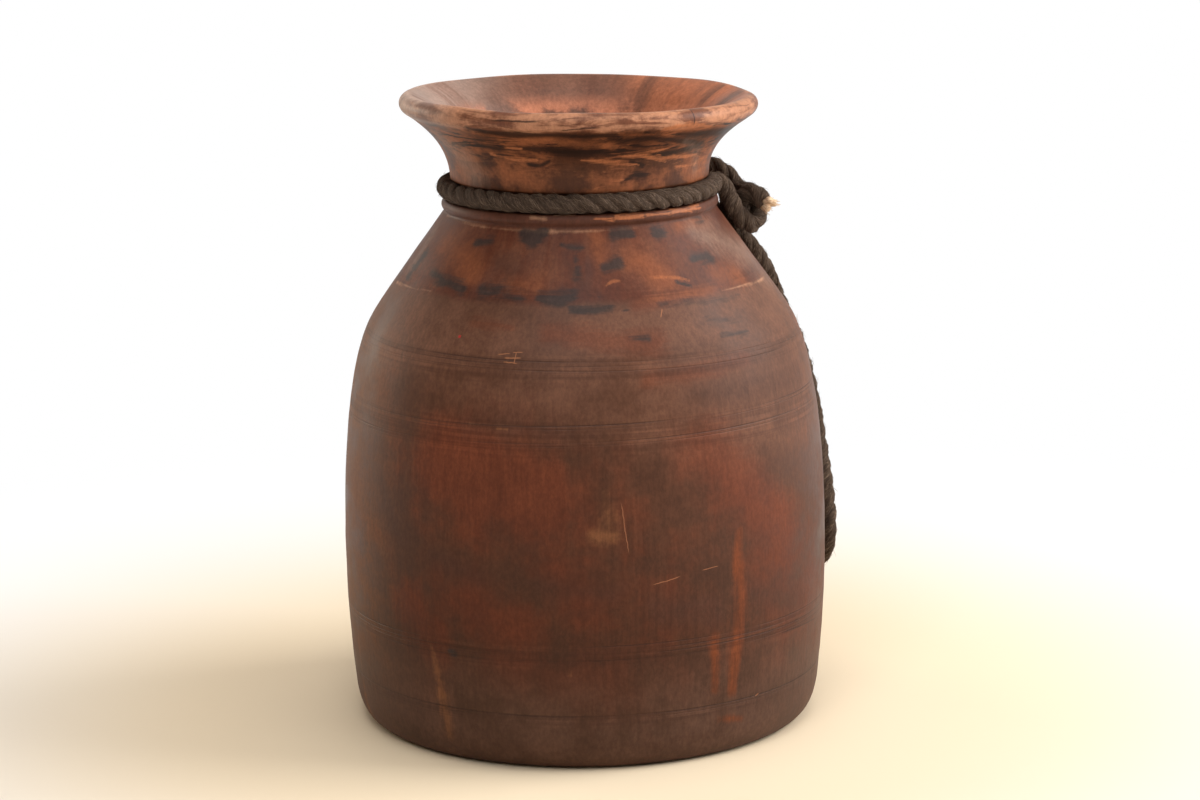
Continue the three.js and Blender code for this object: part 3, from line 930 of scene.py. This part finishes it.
clouds = grain(place, (10, 10, 12), detail=4, rough=0.6, warp=0.3)
mottle = grain(place, (34, 34, 44), detail=5, rough=0.65)
speckle = grain(place, (560, 560, 330), detail=2, rough=0.7)
fibre = grain(place, (330, 330, 24), detail=5, rough=0.72, warp=0.2)
broad_fibre = grain(place, (85, 85, 6), detail=4, rough=0.6, warp=0.4)
tool_marks = grain(place, (6, 6, 430), detail=3, rough=0.6)
flames = grain(place, (55, 55, 420), detail=4, rough=0.65, warp=1.6)
figure = grain(place, (30, 30, 190), detail=4, rough=0.65, warp=1.4)
level_place = node("VectorMath", {0: place, 1: (1, 1, 0)}, operation="MULTIPLY").outputs[0]
way_out = node("VectorMath", {0: level_place}, operation="NORMALIZE").outputs[0]
way_and_height = node("VectorMath", {0: way_out, 1: place}, operation="ADD").outputs[0]
slope_streaks = grain(way_and_height, (22, 22, 5), detail=4, rough=0.58, warp=0.3)


def ragged(field, raggedness, noise):
    """A stroke's depth, with its edge torn by the noise."""
    return plus(marked(field), sway(noise, raggedness))


wavy_height = plus(height, sway(mottle, 0.006))
neck_part = fade(height, 0.2768, 0.2782)

# Belly, with its dull band above, painted light on its left side and its brown heel.
redness = plus(marked("red"), sway(clouds, 2))
redness = plus(redness, sway(mottle, 1.6))
redness = plus(redness, sway(broad_fibre, 1))
colour = blend(fade(redness, -0.15, 0.85), belly_brown, belly_red)
colour = dim(colour, fade(wavy_height, 0.05, 0.18, 0.75, 1.08))
leaning_height = plus(wavy_height, times(rightward, 0.22))
band_amount = times(fade(leaning_height, 0.155, 0.205), fade(mottle, 0.38, 0.6, 0.6, 1))
band_redness = fade(ragged("red", 1.3, figure), 0.2, 0.85, 0, 0.75)
colour = blend(band_amount, colour, blend(band_redness, band_brown, band_red))
# Painted light: the left side is made a lighter, warmer brown.
left_side_painted_light = times(fade(rightward, -0.09, -0.126), fade(mottle, 0.36, 0.62, 0.45, 0.9))
colour = blend(left_side_painted_light, colour, side_painted_light_brown)
heel_amount = times(fade(wavy_height, 0.078, 0.016), fade(mottle, 0.36, 0.6, 0.6, 1))
colour = blend(heel_amount, colour, heel_brown)

# Shoulder, in streaks that run up and down.
shoulder_noise = plus(times(slope_streaks, 0.35), times(mottle, 0.65))
shoulder_tone = blend(fade(shoulder_noise, 0.4, 0.64), shoulder_red, shoulder_tan)
plum_streaks = times(fade(clouds, 0.54, 0.4), fade(slope_streaks, 0.38, 0.62, 0.55, 1))
shoulder_tone = blend(times(plum_streaks, 0.8), shoulder_tone, shoulder_plum)
glow_amount = fade(ragged("red", 0.8, mottle), 0.25, 0.95, 0, 0.8)
shoulder_tone = blend(glow_amount, shoulder_tone, shoulder_glow)
colour = blend(fade(wavy_height, 0.24, 0.2445), colour, shoulder_tone)

# Neck, golden, with dark streaks under the lip and a brown collar.
neck_tone = blend(fade(mottle, 0.4, 0.58), neck_brown, neck_golden)
dark_streaks = times(fade(figure, 0.5, 0.4), fade(wavy_height, 0.304, 0.32, 0.15, 1))
neck_tone = blend(dark_streaks, neck_tone, neck_dark)
bright_streaks = times(fade(figure, 0.58, 0.7), fade(wavy_height, 0.298, 0.31, 0, 0.6))
neck_tone = blend(bright_streaks, neck_tone, flame_orange)
neck_tone = blend(fade(wavy_height, 0.2875, 0.2855), neck_tone, collar_brown)
colour = blend(neck_part, colour, neck_tone)

# Lip, worn to bare wood, palest at the left, where a painted reflection lightens it.
worn_noise = plus(times(figure, 0.5), times(mottle, 0.5))
lip_tone = blend(fade(worn_noise, 0.44, 0.56), lip_brown, lip_tan)
# Painted reflection: the left of the lip is made pale and greyish.
lip_painted_reflection = times(fade(rightward, -0.06, -0.088), fade(mottle, 0.36, 0.56, 0.3, 0.9))
lip_tone = blend(lip_painted_reflection, lip_tone, lip_reflection_pale)
colour = blend(fade(wavy_height, 0.3288, 0.3315), colour, lip_tone)

# Hollow, pale at the left with a painted sheen, red at the right and orange below the lip.
broad_streaks = grain(way_and_height, (3.6, 3.6, 5), detail=3, rough=0.5, warp=0.5)
soft_streaks = plus(times(broad_streaks, 0.82), times(slope_streaks, 0.18))
hollow_tone = blend(fade(soft_streaks, 0.4, 0.66), hollow_tan, hollow_brown)
red_amount = times(fade(rightward, 0.01, 0.05), fade(soft_streaks, 0.62, 0.44))
hollow_tone = blend(red_amount, hollow_tone, hollow_red)
# Painted sheen: the left of the hollow is made pale and greyish.
hollow_painted_sheen = times(fade(rightward, -0.03, -0.075), fade(soft_streaks, 0.66, 0.44))
hollow_tone = blend(hollow_painted_sheen, hollow_tone, hollow_sheen_pale)
hollow_glow = times(fade(wavy_height, 0.333, 0.322), fade(mottle, 0.42, 0.58))
hollow_tone = blend(hollow_glow, hollow_tone, hollow_orange)
colour = blend(inside, colour, hollow_tone)

# Strokes laid over the stain, each torn by the grain that it lies in.
streak_noise = blend(neck_part, blend(0.5, fibre, mottle), flames)
dark_noise = blend(neck_part, mottle, figure)
dark_most = blend(neck_part, half_dark, nearly_dark)
dark_mark = times(fade(ragged("dark", 1.8, dark_noise), 0.35, 0.9), dark_most)
deep_colour = blend(neck_part, belly_dark, neck_dark)
colour = blend(dark_mark, colour, deep_colour)
orange_colour = blend(fade(height, 0.23, 0.242), streak_orange, shoulder_orange)
orange_colour = blend(neck_part, orange_colour, flame_orange)
orange_tear = fade(neck_part, 0, 1, 1.3, 2.3)
orange_mark = fade(ragged("orange", orange_tear, streak_noise), 0.4, 0.95, 0, 0.9)
colour = blend(orange_mark, colour, orange_colour)
pale_colour = blend(fade(height, 0.23, 0.24), faded_tan, bare_tan)
pale_mark = fade(ragged("pale", 1.5, blend(0.5, mottle, streak_noise)), 0.42, 0.98, 0, 0.8)
colour = blend(pale_mark, colour, pale_colour)
# A pale grey film that is partly dust and partly painted sheen.
dust_and_sheen_mark = fade(ragged("dust_and_sheen", 1.1, blend(0.6, mottle, fibre)), 0.2, 1.05, 0, 0.52)
colour = blend(dust_and_sheen_mark, colour, dust_and_sheen_grey)
soot_mark = fade(ragged("soot", 1.9, worn_noise), 0.42, 0.84, 0, 0.86)
colour = blend(soot_mark, colour, soot_black)

# Fine shading of the wood's fibres and pores.
fibre_reach = fade(clouds, 0.4, 0.6, 0.35, 1)
shade = fade(fibre, 0.3, 0.7, 0.87, 1.13)
shade = plus(times(minus(shade, 1), fibre_reach), 1)
shade = times(shade, fade(speckle, 0.3, 0.7, 0.88, 1.12))
shade = times(shade, fade(mottle, 0.3, 0.7, 0.86, 1.14))
colour = dim(colour, shade)

# Turned bands of fine rings, given as height and half width, and the grooves that the tool's corner cut
# in them, given as height, how far the groove tilts, the angle it is highest at, half width and depth.
# Lengths are in millimetres.
turned_bands = [(246, 4), (212, 10), (177, 13), (64, 9), (29, 5)]
turned_lines = [
    (215.2, 1.6, 190, 0.5, 0.9),
    (213.2, 1.6, 190, 0.4, 0.7),
    (210.8, 1.4, 190, 0.5, 0.5),
    (183.5, 2, -20, 0.5, 0.9),
    (181.8, 2, -20, 0.4, 0.7),
    (174.2, 3, -30, 0.5, 0.7),
    (172.5, 3, -30, 0.4, 0.5),
    (67.6, 1.8, -40, 0.5, 1),
    (65, 1.8, -40, 0.4, 0.8),
    (63, 1.5, -40, 0.4, 0.8),
    (60.4, 1.5, -40, 0.5, 0.6),
    (30, 1, -90, 0.5, 0.8),
    (28.4, 1, -90, 0.4, 0.5),
]
round_pot = calc("ARCTAN2", backward, rightward)
line_presence = grain(place, (12, 12, 180), detail=2)
band_reach = 0
for band_height, half_width in turned_bands:
    off_band = calc("ABSOLUTE", minus(wavy_height, band_height * millimetre))
    within = fade(off_band, half_width * millimetre, half_width * 0.3 * millimetre)
    band_reach = calc("MAXIMUM", within, band_reach)
band_reach = times(band_reach, fade(mottle, 0.36, 0.56, 0.25, 1))
ring_shade = times(minus(fade(tool_marks, 0.34, 0.66), 0.55), band_reach)
colour = dim(colour, plus(times(ring_shade, 0.42), 1))
groove_lines = 0
for line_height, tilt, highest_at, half_width, depth in turned_lines:
    swing = calc("COSINE", minus(round_pot, math.radians(highest_at)))
    middle = calc("MULTIPLY_ADD", swing, tilt * millimetre)
    middle.node.inputs[2].default_value = line_height * millimetre
    off_line = calc("ABSOLUTE", minus(height, middle))
    groove = fade(off_line, half_width * millimetre, 0, 0, depth)
    groove_lines = calc("MAXIMUM", groove, groove_lines)
groove_lines = times(groove_lines, fade(line_presence, 0.4, 0.6, 0.05, 1))
groove_lines = times(groove_lines, outside)
colour = blend(times(groove_lines, 0.62), colour, line_black)

# Nicks and rubs a hair or two wide, each given as angle, height, length, tilt and half width, in degrees
# and millimetres, with what it shows: bare wood, a dark crack or a fleck of paint.
scratches = [
    (-110.5, 218.8, 7.5, 3, 0.35, "bare"),
    (-106.8, 219.6, 6, 2, 0.35, "bare"),
    (-108, 216.8, 10, 1, 0.45, "bare"),
    (-108.5, 214.6, 8.5, -2, 0.35, "bare"),
    (-107.2, 217.2, 6, 84, 0.35, "bare"),
    (-71.5, 102.2, 17, 10, 0.3, "bare"),
    (-60.5, 105.2, 11, 7, 0.25, "bare"),
    (-81, 131, 30, 98, 0.3, "bare"),
    (-46, 30.8, 3, 20, 0.45, "bare"),
    (-66.5, 236.5, 5, 62, 0.35, "bare"),
    (-28, 60, 52, -5, 0.35, "crack"),
    (-51.5, 336.5, 12, 88, 0.45, "crack"),
    (-110, 336.6, 30, 1, 0.7, "crack"),
    (-90, 332.4, 22, 3, 0.45, "crack"),
    (-124.8, 225.2, 1.8, 0, 0.9, "red"),
    (104, 150, 20, 4, 0.35, "bare"),
    (60, 195, 12, -3, 0.35, "bare"),
    (165, 120, 24, 85, 0.35, "crack"),
]
mark_colours = {
    "bare": (0.33, 0.13, 0.058, 1),
    "crack": (0.018, 0.01, 0.008, 1),
    "red": (0.42, 0.02, 0.022, 1),
}
distance_out = calc("SQRT", plus(times(rightward, rightward), times(backward, backward)))
scratch_waver = sway(mottle, 0.004)
for angle, mark_height, length, tilt, half_width, shows in scratches:
    turn = math.radians(tilt)
    half_length = length / 2 * millimetre
    from_middle = minus(round_pot, math.radians(angle))
    sideways = times(from_middle, distance_out)
    upward = minus(height, mark_height * millimetre)
    along = times(sideways, math.cos(turn))
    along = plus(along, times(upward, math.sin(turn)))
    beside = times(upward, math.cos(turn))
    beside = minus(beside, times(sideways, math.sin(turn)))
    beside = calc("ABSOLUTE", plus(beside, scratch_waver) if length > 5 else beside)
    reach = fade(calc("ABSOLUTE", along), half_length, half_length * 0.6)
    mark = fade(beside, half_width * millimetre, half_width * millimetre * 0.3)
    mark = times(times(mark, reach), outside)
    colour = blend(times(mark, 0.8), colour, mark_colours[shows])

rough_tone = fade(mottle, 0.3, 0.7, 0.44, 0.6)
rough_tone = plus(rough_tone, times(fade(height, 0.05, 0), 0.12))
rough_tone = minus(rough_tone, times(fade(height, 0.32, 0.335), 0.06))
dress(colour, rough_tone, 0.16)

relief = times(fibre, 0.22)
rings = times(tool_marks, band_reach)
for part, share in ((rings, 0.35), (mottle, 0.5), (speckle, 0.1), (groove_lines, -0.9)):
    relief = plus(relief, times(part, share))
raise_grain(relief, 0.5, 0.0006)

turned_pot = piece_from("turned_pot", pot_vertices, pot_faces, stained_wood, pot_fields)
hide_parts("pot")
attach(turned_pot, "pot")


# Floor
# A plain pale floor that is white further off and keeps the pot's soft shadow.
floor_half = 6
floor_below = 0.0002
near_floor = (0.75, 0.62, 0.445, 1)
far_floor = (0.9, 0.9, 0.9, 1)
pure_white = (1, 1, 1, 1)

pale_floor, tree, surface = new_finish("pale_floor")
place = node("TexCoord").outputs["Object"]
distance = node("VectorMath", {0: place}, operation="LENGTH").outputs["Value"]
far = fade(distance, 0.2, 0.7)
dress(blend(far, near_floor, far_floor), 0.8, 0.2)
rays = node("LightPath")
far_and_seen = times(far, rays.outputs["Is Camera Ray"])
white = node("Emission", {"Color": pure_white, "Strength": 1})
mixed = node("MixShader", {0: far_and_seen, 1: surface.outputs[0], 2: white.outputs[0]})
fill(tree.nodes["Material Output"], {"Surface": mixed.outputs[0]})

floor_corners = [(x * floor_half, y * floor_half, 0) for x, y in ((-1, -1), (1, -1), (1, 1), (-1, 1))]
floor = piece_from("floor", floor_corners, [(0, 1, 2, 3)], pale_floor)
floor.location.z = -floor_below


# Light
# A white room that is brighter behind the pot than in front of it, with broad soft lamps: the strongest
# at the right, where a window would be, and weaker ones above, in front and at the left.
room = bpy.data.worlds.new("room")
room.use_nodes = True
scene.world = room
tree = room.node_tree
tree.nodes.clear()
direction = node("TexCoord").outputs["Generated"]
rightward, backward, _ = node("SeparateXYZ", {0: direction}).outputs
from_back = fade(backward, 0.4, 0.9, 0.15, 0.95)
from_right = fade(rightward, 0.1, 0.8, 0, 0.35)
room_level = plus(from_back, times(from_right, fade(backward, 0.9, 0.4)))
room_light = node("Background", {"Color": (1, 0.95, 0.89, 1), "Strength": room_level})
backdrop = node("Background", {"Color": pure_white, "Strength": 1})
rays = node("LightPath")
seen = rays.outputs["Is Camera Ray"]
mixed = node("MixShader", {0: seen, 1: room_light.outputs[0], 2: backdrop.outputs[0]})
node("OutputWorld", {"Surface": mixed.outputs[0]})


def soft_lamp(name, place, aim, size, power, tint=(1, 1, 1)):
    lamp_data = bpy.data.lights.new(name, "AREA")
    lamp_data.color = tint
    lamp_data.size = size
    lamp_data.energy = power
    lamp = bpy.data.objects.new(name, lamp_data)
    lamp.location = place
    lamp.rotation_mode = "QUATERNION"
    lamp.rotation_quaternion = (Vector(aim) - Vector(place)).to_track_quat("-Z", "Y")
    scene.collection.objects.link(lamp)


soft_lamp("right_lamp", (2, 0, 1.3), (0, 0, 0.2), 1.5, 64)
soft_lamp("top_lamp", (0.1, -0.4, 2.2), (0, 0, 0.2), 1.6, 24)
soft_lamp("front_lamp", (-0.3, -1.8, 1.9), (0, 0, 0.2), 1.2, 19)
soft_lamp("left_lamp", (-1.65, 1.1, 0.5), (0, 0, 0.1), 0.8, 12, (1, 0.86, 0.7))
